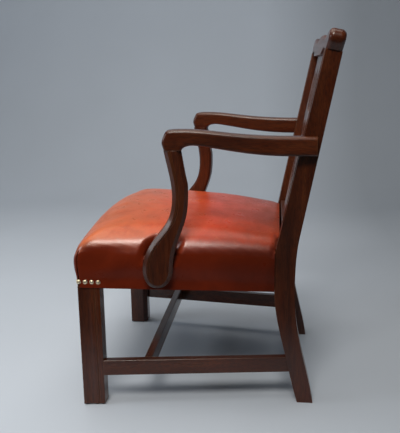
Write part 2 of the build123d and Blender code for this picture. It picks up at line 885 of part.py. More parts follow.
def seat_form(skin):
    """The outside of the seat, or the form under a skin of a given thickness."""
    levels = (
        (-hem_thickness, leather, seat_foot_bow, seat_foot_round),
        (seat_swell_height, seat_swell, seat_swell_bow, seat_swell_round),
        (rail_height, seat_bulge, seat_bow, seat_corner_round),
        (rail_height + seat_side_height, seat_bulge, seat_bow, seat_shoulder_round),
        (2 * seat_crown_height, -seat_draw_in, seat_bow, seat_top_round),
    )
    folded = (leather_folds - 1) * skin
    sections = [
        seat_section(rise, outset - skin, bow, corner + folded) for rise, outset, bow, corner in levels
    ]
    arch_centre = seat_level(seat_crown_height - skin).offset(-seat_dome_radius).origin
    with BuildPart() as arch:
        with BuildSketch(Plane(arch_centre, x_dir=(1, 0, 0), z_dir=(0, seat_depth, -seat_fall))):
            Circle(seat_dome_radius)
        extrude(amount=2 * seat_depth, both=True)
    with BuildPart() as form:
        loft(sections=sections)
        add(arch.part, mode=Mode.INTERSECT)
        top = faces().sort_by(Axis.Z)[-1]
        fillet(top.edges(), seat_edge_round - skin)
    return form


with BuildPart() as behind_seat:
    with BuildSketch():
        with Locations((0, shoe_front)):
            Rectangle(2 * front_width, seat_depth, align=(Align.CENTER, Align.MIN))
    extrude(amount=2 * stile_rise)

arm_support_right = right_of(arm_support_left)
supports = (arm_support_left, arm_support_right)

under_hessian = seat_slab(-rail_bottom, hessian_height)
seat_stuffing = cut_by(seat_form(leather), under_hessian, behind_seat, *stile_places, *supports)
frame_space = seat_layer(frame_plan(0, shoe_back), 0, hessian_height)
hem_opening = seat_layer(frame_plan(hem_width, shoe_back), -2 * hem_thickness, 0)

# Nails

with BuildPart() as nail:
    with BuildSketch(Plane.XZ):
        with BuildLine():
            dome_radius = (nail_radius**2 + nail_dome**2) / (2 * nail_dome)
            Line((0, nail_dome), (0, -nail_shank_length))
            Line((0, -nail_shank_length), (nail_shank_radius, -nail_shank_length))
            Line((nail_shank_radius, -nail_shank_length), (nail_shank_radius, 0))
            Line((nail_shank_radius, 0), (nail_radius, 0))
            RadiusArc((nail_radius, 0), (0, nail_dome), -dome_radius)
        make_face()
    revolve(axis=Axis.Z)

nail_z = rail_bottom + nail_height
nail_planes = []
for place in range(side_nail_count):
    along = side_nail_start + place * nail_pitch
    spot = side_plane.from_local_coords((along, nail_z - fallen(front_face + along), leather))
    nail_planes.append(Plane(origin=spot, x_dir=(0, 0, 1), z_dir=side_plane.z_dir))
for place in range(front_nail_count):
    spot = (half_front - front_nail_start - place * nail_pitch, front_face - leather, nail_z)
    nail_planes.append(Plane(origin=spot, x_dir=(0, 0, 1), z_dir=(0, -1, 0)))

with BuildPart() as brass_nails_left:
    with Locations(*nail_planes):
        add(nail.part)
brass_nails_right = right_of(brass_nails_left)

# Screws


def screws(planes, length):
    """Countersunk screws, heads at the planes and points behind them."""
    with BuildPart() as one:
        with BuildSketch(Plane.XZ):
            with BuildLine():
                Polyline(
                    (0, 0),
                    (screw_head_radius, 0),
                    (screw_radius, -screw_head_height),
                    (screw_radius, -length + 2 * screw_radius),
                    (0, -length),
                    close=True,
                )
            make_face()
        revolve(axis=Axis.Z)
    with BuildPart() as group:
        with Locations(*planes):
            add(one.part)
    return group


support_screw_planes = []
for share in support_screw_shares:
    along = support_setback + support_screw_setback
    height = rail_bottom - fallen(front_face + along) + rail_height * share
    spot = side_plane.from_local_coords((along, height, -side_rail_thickness))
    support_screw_planes.append(Plane(origin=spot, x_dir=(0, 0, 1), z_dir=-side_plane.z_dir))
support_screws_left = screws(support_screw_planes, support_screw_length)
support_screws_right = right_of(support_screws_left)

stile_share = (arm_level - rail_top) / stile_rise
stile_width_here = back_leg_width + (stile_top_width - back_leg_width) * stile_share
stile_middle_y = (
    seat_back + (arm_level - rail_top) * tan(radians(back_rake)) + back_leg_depth / 2
)
arm_screw_plane = Plane(
    origin=(stile_outer_x(arm_level) - stile_width_here + arm_screw_sink, stile_middle_y, arm_level),
    x_dir=(0, 0, 1),
    z_dir=(-1, 0, 0),
)
arm_screw_left = screws([arm_screw_plane], arm_screw_length)
arm_screw_right = right_of(arm_screw_left)
with BuildPart() as arm_screw_access:
    with BuildSketch(arm_screw_plane):
        Circle(screw_head_radius)
    extrude(amount=2 * screw_head_height)

# Corner blocks

front_rail_back = front_face + front_rail_thickness


def block_foot(side_end):
    """Height of a corner block's lower face."""
    return rail_bottom + block_lift - fallen(side_end[1])


def corner_block(outer_points, rail_end, side_end):
    """A block across an inside corner of the seat frame."""
    with BuildPart() as block:
        with BuildSketch(Plane.XY.offset(block_foot(side_end))):
            with BuildLine():
                Polyline(rail_end, *outer_points, side_end, close=True)
            make_face()
        extrude(amount=block_height)
    return block


def block_screw_plane(rail_end, side_end, target):
    """Where a screw enters the long face of a corner block, aimed at the middle of the leg."""
    middle = Vector((rail_end[0] + side_end[0]) / 2, (rail_end[1] + side_end[1]) / 2, 0)
    aim = middle - Vector(target[0], target[1], 0)
    return Plane(
        origin=(middle.X, middle.Y, block_foot(side_end) + block_height / 2),
        x_dir=(0, 0, 1),
        z_dir=aim,
    )


front_block_side = leg_back + block_reach
front_rail_end = (half_front - front_leg_size - block_reach, front_rail_back)
front_side_end = (side_x(front_block_side, side_rail_thickness), front_block_side)
front_block_blank = corner_block(
    (
        (half_front - front_leg_size / 2, front_rail_back),
        (side_x(front_block_side, side_rail_thickness / 2), front_block_side),
    ),
    front_rail_end,
    front_side_end,
)
back_block_side = seat_back - block_reach
back_rail_end = (half_between_legs - block_reach, back_rail_front)
back_side_end = (side_x(back_block_side, side_rail_thickness), back_block_side)
back_block_blank = corner_block(
    (
        (half_rear - back_leg_width / 2, back_rail_front),
        (side_x(back_block_side, side_rail_thickness / 2), back_block_side),
    ),
    back_rail_end,
    back_side_end,
)
block_screws_left = screws(
    [
        block_screw_plane(
            front_rail_end,
            front_side_end,
            (half_front - front_leg_size / 2, front_face + front_leg_size / 2),
        ),
        block_screw_plane(
            back_rail_end,
            back_side_end,
            (half_rear - back_leg_width / 2, seat_back + back_leg_depth / 2),
        ),
    ],
    block_screw_length,
)
block_screws_right = right_of(block_screws_left)
corner_block_front_left = cut_by(
    front_block_blank, front_seat_rail, side_seat_rail_left, front_leg_square, block_screws_left
)
corner_block_back_left = cut_by(
    back_block_blank, back_seat_rail, side_seat_rail_left, back_leg_blank, block_screws_left
)

# Pieces fitted to each other

front_leg_left = cut_by(
    front_leg_moulded,
    front_seat_rail,
    side_seat_rail_left,
    side_stretcher_left,
    brass_nails_left,
    block_screws_left,
)
with BuildPart() as back_leg_with_tenon:
    add(back_leg_blank.part)
    add(stile_channel.part, mode=Mode.SUBTRACT)
    add(stile_tenon.part)
back_leg_left = cut_by(
    back_leg_with_tenon,
    back_seat_rail,
    rear_stretcher,
    side_seat_rail_left,
    side_stretcher_left,
    arm_screw_left,
    arm_screw_access,
    block_screws_left,
)
side_rail_left = cut_by(side_seat_rail_left, support_screws_left, brass_nails_left)
side_stretcher_cut = cut_by(side_stretcher_left, medial_stretcher)
arm_support_cut = cut_by(arm_support_left, support_screws_left)
arm_left = cut_by(arm_blank, arm_support_left, back_leg_blank, arm_screw_left)
stile_tenon_right = right_of(stile_tenon)
crest_rail = cut_by(crest_blank, splat, stile_tenon, stile_tenon_right)
splat_shoe = cut_by(shoe_blank, splat, *stile_places)
seat_cover = cut_by(
    seat_form(0),
    seat_stuffing,
    frame_space,
    hem_opening,
    behind_seat,
    front_leg_eased,
    right_of(front_leg_eased),
    *stile_places,
    *supports,
    brass_nails_left,
    brass_nails_right,
)

with BuildPart() as arm_screws:
    add(arm_screw_left.part)
    add(arm_screw_right.part)
with BuildPart() as arm_support_screws:
    add(support_screws_left.part)
    add(support_screws_right.part)
with BuildPart() as corner_block_screws:
    add(block_screws_left.part)
    add(block_screws_right.part)

pieces = {
    "front_leg_left": front_leg_left,
    "front_leg_right": right_of(front_leg_left),
    "back_leg_left": back_leg_left,
    "back_leg_right": right_of(back_leg_left),
    "front_seat_rail": front_seat_rail,
    "side_seat_rail_left": side_rail_left,
    "side_seat_rail_right": right_of(side_rail_left),
    "back_seat_rail": back_seat_rail,
    "corner_block_front_left": corner_block_front_left,
    "corner_block_front_right": right_of(corner_block_front_left),
    "corner_block_back_left": corner_block_back_left,
    "corner_block_back_right": right_of(corner_block_back_left),
    "side_stretcher_left": side_stretcher_cut,
    "side_stretcher_right": right_of(side_stretcher_cut),
    "medial_stretcher": medial_stretcher,
    "rear_stretcher": rear_stretcher,
    "splat_shoe": splat_shoe,
    "splat": splat,
    "crest_rail": crest_rail,
    "arm_left": arm_left,
    "arm_right": right_of(arm_left),
    "arm_support_left": arm_support_cut,
    "arm_support_right": right_of(arm_support_cut),
    "webbing_lengthwise": webbing_lengthwise,
    "webbing_crosswise": webbing_crosswise,
    "hessian": hessian,
    "seat_stuffing": seat_stuffing,
    "seat_cover": seat_cover,
    "brass_nails_left": brass_nails_left,
    "brass_nails_right": brass_nails_right,
    "arm_screws": arm_screws,
    "arm_support_screws": arm_support_screws,
    "corner_block_screws": corner_block_screws,
}
os.makedirs("parts", exist_ok=True)
for name, piece in pieces.items():
    piece.part.label = name
    export_step(piece.part, f"parts/{name}.step")
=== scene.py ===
import math

import bmesh
import bpy
import numpy as np
from mathutils import Matrix, Vector
from mathutils.bvhtree import BVHTree


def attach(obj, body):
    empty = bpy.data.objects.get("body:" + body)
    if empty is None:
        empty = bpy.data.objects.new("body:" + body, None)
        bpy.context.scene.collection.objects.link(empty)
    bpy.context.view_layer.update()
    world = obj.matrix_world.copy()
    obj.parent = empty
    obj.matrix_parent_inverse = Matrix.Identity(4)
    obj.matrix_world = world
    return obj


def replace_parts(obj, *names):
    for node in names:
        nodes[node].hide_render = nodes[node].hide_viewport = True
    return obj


# A child's elbow chair: mahogany frame, worn red leather seat, brass nails. All sizes are in metres.

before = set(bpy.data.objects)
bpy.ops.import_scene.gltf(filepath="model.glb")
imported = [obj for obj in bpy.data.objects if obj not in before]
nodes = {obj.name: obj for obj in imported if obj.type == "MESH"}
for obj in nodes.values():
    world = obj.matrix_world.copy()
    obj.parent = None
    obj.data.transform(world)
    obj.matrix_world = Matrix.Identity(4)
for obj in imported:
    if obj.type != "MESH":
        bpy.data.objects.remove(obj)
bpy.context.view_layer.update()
scene = bpy.context.scene

# Sizes shared with the solids, in metres. The seat falls to the rear, so heights in it are measured
# square up from the lower edges of the rails.

FRONT = -0.2232
DEPTH = 0.350
HALF_FRONT = 0.220
SIDE_SLOPE = (0.220 - 0.172) / DEPTH
LEAN = math.atan(SIDE_SLOPE)
FALL = 0.0145 / DEPTH
RAIL_BOTTOM = 0.2335
RAIL_TOP = 0.2855
SEAT_BACK = FRONT + DEPTH
SHOE_FRONT = SEAT_BACK + 0.008
LEG = 0.039
LEG_ROUND = 0.006
HEM = 0.0012
HEM_WIDTH = 0.013
HESSIAN_TOP = 0.056
WEBBING_MIDDLE = 0.0535
CROWN = 0.1185
RAKE = math.tan(math.radians(11.95))
STILE_INNER = 0.142
TACKED_IN = 0.004
LEATHER = 0.0013
BEHIND_SEAT = 0.17
FAR = 0.4

# Rings up the seat's sides: height, outset from the frame, corner radius and bow of the sides

SIDE_RISES = np.array((-0.02, 0.0145, 0.021, 0.036, 0.052, 0.066, 0.09))
SIDE_OUTSETS = np.array((0.0016, 0.0016, 0.0026, 0.0052, 0.0070, 0.0070, 0.0060))
SIDE_CORNERS = np.array((0.0050, 0.0055, 0.0070, 0.0100, 0.0130, 0.0150, 0.0180))
SIDE_BOWS = np.array((0.0003, 0.0008, 0.0014, 0.0024, 0.003, 0.003, 0.003))
RIM_INWARD = np.array((0.5, 2, 4.5, 8, 12.5, 18, 24.5, 32, 40, 50, 60, 70)) / 1000

# Fold at a front corner: height, turn round the corner in degrees and width in millimetres

PLEAT = (
    (-0.01, -22, 3.4),
    (0.02, -22, 3.8),
    (0.045, -21, 4.6),
    (0.062, -18, 5.0),
    (0.072, -13, 4.4),
    (0.083, -4, 1.6),
)
PLEAT_DEPTH = 0.006
PLEAT_BRIM = 0.008


def half_width(y):
    """Half width of the seat frame at a depth."""
    return HALF_FRONT - (y - FRONT) * SIDE_SLOPE


def rail_level(y):
    """Height of the rails' lower edges at a depth."""
    return RAIL_BOTTOM - (y - FRONT) * FALL


def top(x, y):
    """Height of the seat's top above the rails' lower edges, before its rim is rolled over."""
    rearward = np.clip((y + 0.06) / 0.174, 0, 2)
    forward = np.clip((-0.15 - y) / 0.07, 0, 2)
    return CROWN - 0.0104 * rearward**2 - 0.003 * forward**2 - 0.363 * x**2


# Materials


class Shader:
    """A material with its node tree, built a node at a time."""

    def __init__(self, name):
        self.material = bpy.data.materials.new(name)
        self.material.use_nodes = True
        self.tree = self.material.node_tree
        self.tree.nodes.clear()
        output = self.tree.nodes.new("ShaderNodeOutputMaterial")
        self.surface = self.tree.nodes.new("ShaderNodeBsdfPrincipled")
        self.join(self.surface.outputs[0], output.inputs[0])

    def join(self, source, target):
        self.tree.links.new(source, target)

    def feed(self, socket, value):
        """Gives a socket a value, or another node's output."""
        if isinstance(value, bpy.types.NodeSocket):
            self.join(value, socket)
        else:
            socket.default_value = value

    def node(self, kind, settings=None, **inputs):
        made = self.tree.nodes.new("ShaderNode" + kind)
        for name, value in (settings or {}).items():
            setattr(made, name, value)
        for name, value in inputs.items():
            self.feed(made.inputs[name.replace("_", " ")], value)
        return made

    def set(self, **inputs):
        for name, value in inputs.items():
            self.feed(self.surface.inputs[name.replace("_", " ")], value)

    def coordinates(self, scale=(1, 1, 1), location=(0, 0, 0)):
        place = self.node("TexCoord").outputs["Object"]
        return self.node("Mapping", Vector=place, Scale=scale, Location=location).outputs[0]

    def noise(self, vector, scale, detail=4.0, roughness=0.55, distortion=0.0):
        made = self.node("TexNoise", Vector=vector, Scale=scale, Detail=detail)
        self.feed(made.inputs["Roughness"], roughness)
        self.feed(made.inputs["Distortion"], distortion)
        return made.outputs["Fac"]

    def ramp(self, value, *stops):
        """Colours or grey levels along a value, each stop a place and a level."""
        made = self.node("ValToRGB", Fac=value)
        elements = made.color_ramp.elements
        while len(elements) < len(stops):
            elements.new(1.0)
        for element, (place, level) in zip(elements, stops):
            element.position = place
            element.color = (*level, 1) if isinstance(level, tuple) else (level, level, level, 1)
        return made.outputs[0]

    def mix(self, factor, first, second, blend="MIX"):
        made = self.tree.nodes.new("ShaderNodeMix")
        made.data_type = "RGBA"
        made.blend_type = blend
        for place, value in ((0, factor), (6, first), (7, second)):
            self.feed(made.inputs[place], (*value, 1) if isinstance(value, tuple) else value)
        return made.outputs[2]

    def math(self, operation, first, second=0.0):
        made = self.node("Math", {"operation": operation})
        for place, value in enumerate((first, second)):
            self.feed(made.inputs[place], value)
        return made.outputs[0]

    def bump(self, height, strength, distance, normal=None):
        made = self.node("Bump", Height=height, Strength=strength, Distance=distance)
        if normal is not None:
            self.join(normal, made.inputs["Normal"])
        return made.outputs[0]

    def edges(self, radius):
        """Rounded normals, and how far they turn from the flat ones, which is high along worn edges."""
        rounded = self.node("Bevel", {"samples": 6}, Radius=radius).outputs[0]
        flat = self.node("NewGeometry").outputs["Normal"]
        along = self.node("VectorMath", {"operation": "DOT_PRODUCT"})
        self.join(rounded, along.inputs[0])
        self.join(flat, along.inputs[1])
        turned = self.math("SUBTRACT", 1.0, along.outputs["Value"])
        return rounded, turned


STRETCHED = 0.055
GRAIN = {"x": (STRETCHED, 1, 1), "y": (1, STRETCHED, 1), "z": (1, 1, STRETCHED)}


def mahogany(name, along, shift, rounding=0.0016):
    """Polished mahogany with its grain along an axis."""
    s = Shader(name)
    place = s.coordinates(GRAIN[along], shift)
    figure = s.noise(place, 38.0, 6.0, 0.6, 0.6)
    streaks = s.noise(place, 240.0, 3.0, 0.6, 0.2)
    pores = s.noise(place, 900.0, 2.0, 0.5)
    clouds = s.noise(s.coordinates(location=shift), 9.0, 3.0, 0.5)
    body = s.ramp(
        figure,
        (0.25, (0.034, 0.005, 0.001)),
        (0.5, (0.084, 0.0145, 0.0024)),
        (0.78, (0.158, 0.038, 0.007)),
    )
    body = s.mix(s.ramp(streaks, (0.35, 0.0), (0.75, 0.45)), body, (0.125, 0.034, 0.0085), "MIX")
    body = s.mix(s.ramp(pores, (0.42, 0.5), (0.52, 0.0)), body, (0.016, 0.004, 0.0015))
    body = s.mix(0.55, body, s.ramp(clouds, (0.3, 0.4), (0.7, 1.0)), "MULTIPLY")
    rounded, turned = s.edges(rounding)
    edge = s.ramp(turned, (0.02, 0.0), (0.22, 1.0))
    worn = s.math("MULTIPLY", edge, s.ramp(clouds, (0.35, 0.2), (0.65, 0.8)))
    body = s.mix(worn, body, (0.24, 0.09, 0.034))
    s.set(Base_Color=body)
    s.set(Roughness=s.ramp(s.noise(place, 60.0, 4.0), (0.3, 0.26), (0.75, 0.42)))
    waves = s.bump(clouds, 0.06, 0.004, rounded)
    s.set(Normal=s.bump(s.math("MULTIPLY", pores, 0.6), 0.12, 0.0004, waves))
    s.set(Coat_Weight=0.3, Coat_Roughness=0.16, Specular_IOR_Level=0.35)
    return s.material


def frame_wood():
    """Bare beech of the hidden rails and blocks."""
    s = Shader("frame_beech")
    place = s.coordinates((1, 1, 0.12))
    figure = s.noise(place, 60.0, 5.0, 0.6, 0.4)
    flecks = s.noise(s.coordinates((1, 0.2, 1)), 700.0, 2.0)
    body = s.ramp(figure, (0.3, (0.22, 0.125, 0.06)), (0.7, (0.38, 0.24, 0.125)))
    body = s.mix(s.ramp(flecks, (0.55, 0.0), (0.65, 0.6)), body, (0.13, 0.07, 0.035))
    rounded, _ = s.edges(0.0008)
    s.set(Base_Color=body, Roughness=s.ramp(figure, (0.3, 0.62), (0.7, 0.78)))
    s.set(Normal=s.bump(flecks, 0.15, 0.0004, rounded))
    return s.material


def red_leather():
    """Old waxed hide: orange red where it is rubbed, with a fine grain. Painted shade darkens its
    creases, its rear and, in part, its sides.
    """
    s = Shader("red_leather")
    place = s.coordinates()
    mottle = s.noise(place, 11.0, 5.0, 0.62, 0.8)
    patches = s.noise(place, 34.0, 5.0, 0.6, 0.4)
    specks = s.noise(place, 190.0, 3.0, 0.6)
    depth = s.node("SeparateXYZ", Vector=place).outputs["Y"]
    # Colour by depth: rubbed orange at the front turns to darker red at the rear, partly less wear and
    # partly painted shade from the back and arms.
    rearward = s.math("ADD", s.math("MULTIPLY", depth, 2.6), s.math("MULTIPLY", patches, 0.35))
    rearward = s.math("ADD", rearward, 0.42)
    body = s.ramp(
        rearward,
        (0.1, (0.64, 0.16, 0.058)),
        (0.38, (0.62, 0.104, 0.032)),
        (0.6, (0.56, 0.055, 0.0155)),
        (0.95, (0.27, 0.042, 0.017)),
    )
    body = s.mix(0.8, body, s.ramp(mottle, (0.25, 0.62), (0.5, 1.0), (0.75, 1.15)), "MULTIPLY")
    body = s.mix(s.ramp(patches, (0.56, 0.0), (0.75, 0.35)), body, (0.3, 0.036, 0.013))
    body = s.mix(s.ramp(specks, (0.56, 0.0), (0.68, 0.22)), body, (0.62, 0.21, 0.09))
    # Sides: a dark red mixed in where the surface faces sideways, partly the hide's own colour and
    # partly painted shade.
    upward = s.node("SeparateXYZ", Vector=s.node("NewGeometry").outputs["Normal"]).outputs["Z"]
    flank = s.mix(0.7, (0.165, 0.019, 0.0052), s.ramp(mottle, (0.25, 0.6), (0.75, 1.25)), "MULTIPLY")
    # Painted shade: the sides darken towards the rear, where the back and arms shade them.
    flank = s.mix(s.ramp(rearward, (0.55, 0.0), (0.95, 0.6)), flank, (0.045, 0.008, 0.0035))
    body = s.mix(s.ramp(upward, (0.3, 1.0), (0.7, 0.0)), body, flank)
    # Painted shade: ambient occlusion darkens the pleats, creases and the leather beside the supports,
    # stiles and nails.
    painted_crease_shade = s.node("AmbientOcclusion", {"samples": 8}, Distance=0.009).outputs["AO"]
    body = s.mix(s.ramp(painted_crease_shade, (0.3, 0.9), (0.62, 0.0)), body, (0.02, 0.0045, 0.002))
    cells = s.node("TexVoronoi", {"feature": "DISTANCE_TO_EDGE"}, Vector=place, Scale=620.0)
    grain = s.ramp(cells.outputs["Distance"], (0.0, 0.0), (0.25, 1.0))
    creases = s.noise(s.coordinates((1, 0.5, 1)), 120.0, 4.0, 0.7, 1.2)
    height = s.math("ADD", s.math("MULTIPLY", grain, 0.5), creases)
    s.set(Base_Color=body, Roughness=s.ramp(patches, (0.35, 0.27), (0.7, 0.37)))
    s.set(Normal=s.bump(height, 0.16, 0.0007, s.bump(mottle, 0.08, 0.004)))
    s.set(Specular_IOR_Level=s.ramp(upward, (0.2, 0.12), (0.5, 0.8), (0.9, 0.3)))
    s.set(Coat_Weight=s.ramp(upward, (0.25, 0.02), (0.5, 0.3), (0.9, 0.06)), Coat_Roughness=0.22)
    return s.material


def cloth(name, dark, light, threads, width):
    """A plain woven cloth: threads over and under each other."""
    s = Shader(name)
    place = s.coordinates((threads, threads, threads))
    across = s.node("TexWave", {"bands_direction": "X"}, Vector=place, Scale=width)
    down = s.node("TexWave", {"bands_direction": "Y"}, Vector=place, Scale=width)
    weave = s.math("MAXIMUM", across.outputs["Fac"], down.outputs["Fac"])
    slubs = s.noise(s.coordinates((1, 0.1, 1)), 500.0, 3.0)
    body = s.mix(s.ramp(weave, (0.2, 0.0), (0.8, 1.0)), dark, light)
    body = s.mix(s.ramp(slubs, (0.4, 0.5), (0.7, 0.0)), body, dark)
    s.set(Base_Color=body, Roughness=s.ramp(slubs, (0.3, 0.8), (0.7, 0.95)))
    s.set(Normal=s.bump(weave, 0.6, 0.0006), Sheen_Weight=0.3, Sheen_Roughness=0.5)
    return s.material


def brass():
    """Polished brass nails, dulled in places."""
    s = Shader("nail_brass")
    place = s.coordinates()
    tarnish = s.noise(place, 420.0, 4.0)
    s.set(Base_Color=s.ramp(tarnish, (0.3, (0.62, 0.47, 0.27)), (0.55, (0.95, 0.84, 0.62))))
    s.set(Metallic=1.0, Roughness=s.ramp(tarnish, (0.35, 0.5), (0.65, 0.36)))
    s.set(Normal=s.bump(s.noise(place, 1600.0, 2.0), 0.1, 0.0002))
    return s.material


def steel():
    """Dull steel of old screws."""
    s = Shader("screw_steel")
    place = s.coordinates()
    rust = s.noise(place, 380.0, 5.0)
    s.set(Base_Color=s.ramp(rust, (0.45, (0.3, 0.3, 0.3)), (0.7, (0.12, 0.06, 0.035))))
    s.set(Metallic=0.85, Roughness=s.ramp(rust, (0.4, 0.38), (0.7, 0.7)))
    s.set(Normal=s.bump(rust, 0.2, 0.0003))
    return s.material


woods = {
    "z": mahogany("mahogany_upright", "z", (0.0, 0.0, 0.0)),
    "y": mahogany("mahogany_depth", "y", (0.37, 0.0, 0.21)),
    "x": mahogany("mahogany_across", "x", (0.0, 0.53, 0.11)),
    "arm": mahogany("mahogany_arm", "y", (0.19, 0.0, 0.33), 0.005),
}
grain_of = {
    "z": ["front_leg_left", "front_leg_right", "back_leg_left", "back_leg_right", "splat"]
    + ["arm_support_left", "arm_support_right"],
    "y": ["side_stretcher_left", "side_stretcher_right"],
    "arm": ["arm_left", "arm_right"],
    "x": ["medial_stretcher", "rear_stretcher", "crest_rail", "splat_shoe", "back_seat_rail"],
}
beech = frame_wood()
leather = red_leather()
hessian_cloth = cloth("hessian_weave", (0.1, 0.065, 0.032), (0.36, 0.25, 0.14), 1.0, 130.0)
webbing_cloth = cloth("webbing_weave", (0.12, 0.085, 0.045), (0.42, 0.33, 0.2), 1.0, 260.0)
nail_brass = brass()
screw_steel = steel()


def paint(node, material):
    """Gives a solid's own object a material."""
    for place in range(len(nodes[node].material_slots)):
        nodes[node].material_slots[place].material = material


for along, names in grain_of.items():
    for name in names:
        paint(name, woods[along])
for name in nodes:
    if name.startswith("corner_block_") and not name.endswith("screws"):
        paint(name, beech)
for name in ("front_seat_rail", "side_seat_rail_left", "side_seat_rail_right"):
    paint(name, beech)
for name in ("brass_nails_left", "brass_nails_right"):
    paint(name, nail_brass)
for name in ("arm_screws", "arm_support_screws", "corner_block_screws"):
    paint(name, screw_steel)

# Leather seat


def mesh_object(name, vertices, faces):
    mesh = bpy.data.meshes.new(name)
    mesh.from_pydata([tuple(v) for v in vertices], [], faces)
    mesh.update()
    made = bpy.data.objects.new(name, mesh)
    scene.collection.objects.link(made)
    return made


def seat_outline(outset, bow, corner):
    """Points round the seat at one level, anticlockwise from the front left corner."""
    back = 0.155
    normals = [(0, -1), (math.cos(LEAN), math.sin(LEAN)), (0, 1), (-math.cos(LEAN), math.sin(LEAN))]
    rear = half_width(back)
    base = [(-HALF_FRONT, FRONT), (HALF_FRONT, FRONT), (rear, back), (-rear, back)]
    inset = outset - corner
    centres = []
    for place, (x, y) in enumerate(base):
        before = np.array(normals[place - 1])
        after = np.array(normals[place])
        span = 1 + before @ after
        centres.append(np.array((x, y)) + inset * (before + after) / span)
    points = []
    for place in range(4):
        before = normals[place - 1]
        after = normals[place]
        start = math.atan2(before[1], before[0])
        turn = (math.atan2(after[1], after[0]) - start) % (2 * math.pi)
        for step in range(9):
            angle = start + turn * step / 8
            points.append(centres[place] + corner * np.array((math.cos(angle), math.sin(angle))))
        first = centres[place] + corner * np.array(after)
        last = centres[(place + 1) % 4] + corner * np.array(after)
        for step in range(1, 40):
            share = step / 40
            swell = bow * 4 * share * (1 - share)
            points.append(first + (last - first) * share + swell * np.array(after))
    return np.array(points)


def ringed(name, rings):
    """A closed skin over rings of points, from the lowest to the highest."""
    count = len(rings[0])
    vertices = np.concatenate(rings)
    faces = []
    for low in range(0, len(vertices) - count, count):
        high = low + count
        for place in range(count):
            following = (place + 1) % count
            faces.append((low + place, low + following, high + following, high + place))
    faces.append(tuple(range(len(vertices) - count, len(vertices))))
    faces.append(tuple(reversed(range(count))))
    return mesh_object(name, vertices, faces)


def seat_block():
    """The seat as one block: bowed sides that swell upward, a rolled rim and a top arched across."""
    bow = SIDE_BOWS[-1]
    rim = seat_outline(SIDE_OUTSETS[-1], bow, SIDE_CORNERS[-1])
    way = np.roll(rim, -1, axis=0) - np.roll(rim, 1, axis=0)
    frontness = np.clip(way[:, 0] / np.linalg.norm(way, axis=1), 0, 1) ** 2
    roll_in = 0.036 + 0.032 * frontness
    roll_down = 0.035 + 0.011 * frontness
    rings = []
    tops = top(rim[:, 0], rim[:, 1]) - roll_down
    for share in np.linspace(0, 1, 30):
        rise = SIDE_RISES[0] + share * (tops - SIDE_RISES[0])
        mean = rise.mean()
        sizes = [np.interp(mean, SIDE_RISES, held) for held in (SIDE_OUTSETS, SIDE_BOWS, SIDE_CORNERS)]
        outline = seat_outline(*sizes)
        rings.append(np.column_stack((outline, rise)))
    for inward in RIM_INWARD:
        outline = seat_outline(SIDE_OUTSETS[-1] - inward, bow, SIDE_CORNERS[-1] + 0.4 * inward)
        left = np.clip(1 - inward / roll_in, 0, 1)
        drop = roll_down * (1 - np.sqrt(1 - left**2))
        rings.append(np.column_stack((outline, top(outline[:, 0], outline[:, 1]) - drop)))
    middle = np.array((0.0, -0.04))
    inner = rings[-1][:, :2]
    for share in np.linspace(1, 0.02, 22)[1:]:
        outline = middle + (inner - middle) * share
        rings.append(np.column_stack((outline, top(outline[:, 0], outline[:, 1]))))
    for ring in rings:
        ring[:, 2] += rail_level(ring[:, 1])
    return ringed("seat_leather", rings)


def coordinates_of(piece):
    held = np.zeros(len(piece.data.vertices) * 3)
    piece.data.vertices.foreach_get("co", held)
    return held.reshape(-1, 3)


def set_coordinates(piece, places):
    piece.data.vertices.foreach_set("co", places.ravel())
    piece.data.update()


def apply_modifiers(piece):
    """Replaces a piece's mesh by what its modifiers make of it."""
    done = bpy.data.meshes.new_from_object(piece.evaluated_get(bpy.context.evaluated_depsgraph_get()))
    piece.modifiers.clear()
    piece.data = done


def cut(piece, cutter):
    """Takes the space of a cutter out of a piece."""
    difference = piece.modifiers.new("cut", "BOOLEAN")
    difference.operation = "DIFFERENCE"
    difference.solver = "EXACT"
    difference.object = cutter
    apply_modifiers(piece)
    bpy.data.objects.remove(cutter)


def prism(name, corners, axis, low, high):
    """A prism over a polygon: along X from corners in Y and Z, or up the fallen seat from X and Y."""
    count = len(corners)
    if axis == "x":
        ends = [[(at, a, b) for a, b in corners] for at in (low, high)]
    else:
        ends = [[(a, b, rail_level(b) + at) for a, b in corners] for at in (low, high)]
    faces = [tuple(reversed(range(count))), tuple(range(count, 2 * count))]
    faces += [(n, (n + 1) % count, (n + 1) % count + count, n + count) for n in range(count)]
    made = mesh_object(name, ends[0] + ends[1], faces)
    outward(made)
    return made


def outward(piece):
    """Turns a closed mesh's faces outward."""
    shape = bmesh.new()
    shape.from_mesh(piece.data)
    bmesh.ops.remove_doubles(shape, verts=shape.verts, dist=1e-6)
    bmesh.ops.recalc_face_normals(shape, faces=shape.faces)
    shape.to_mesh(piece.data)
    shape.free()


def solid_copy(node):
    """A closed copy of a solid, to cut with."""
    made = bpy.data.objects.new("cutter_" + node, nodes[node].data.copy())
    scene.collection.objects.link(made)
    outward(made)
    return made


def corner_arc(radius):
    """The rounded front left corner of the frame, from the front face to the side."""
    centre = (half_width(FRONT + radius) - radius / math.cos(LEAN), FRONT + radius)
    angles = np.linspace(-math.pi / 2, LEAN, 7)
    return [(centre[0] + radius * math.cos(a), centre[1] + radius * math.sin(a)) for a in angles]


def frame_corners(inset, back):
    """Plan of the seat frame, drawn in from its outer faces."""
    front = FRONT + inset
    slant = inset / math.cos(LEAN)
    near = half_width(front) - slant
    far = half_width(back) - slant
    return [(-near, front), (near, front), (far, back), (-far, back)]


def mirrored(corners):
    return [(-x, y) for x, y in reversed(corners)]


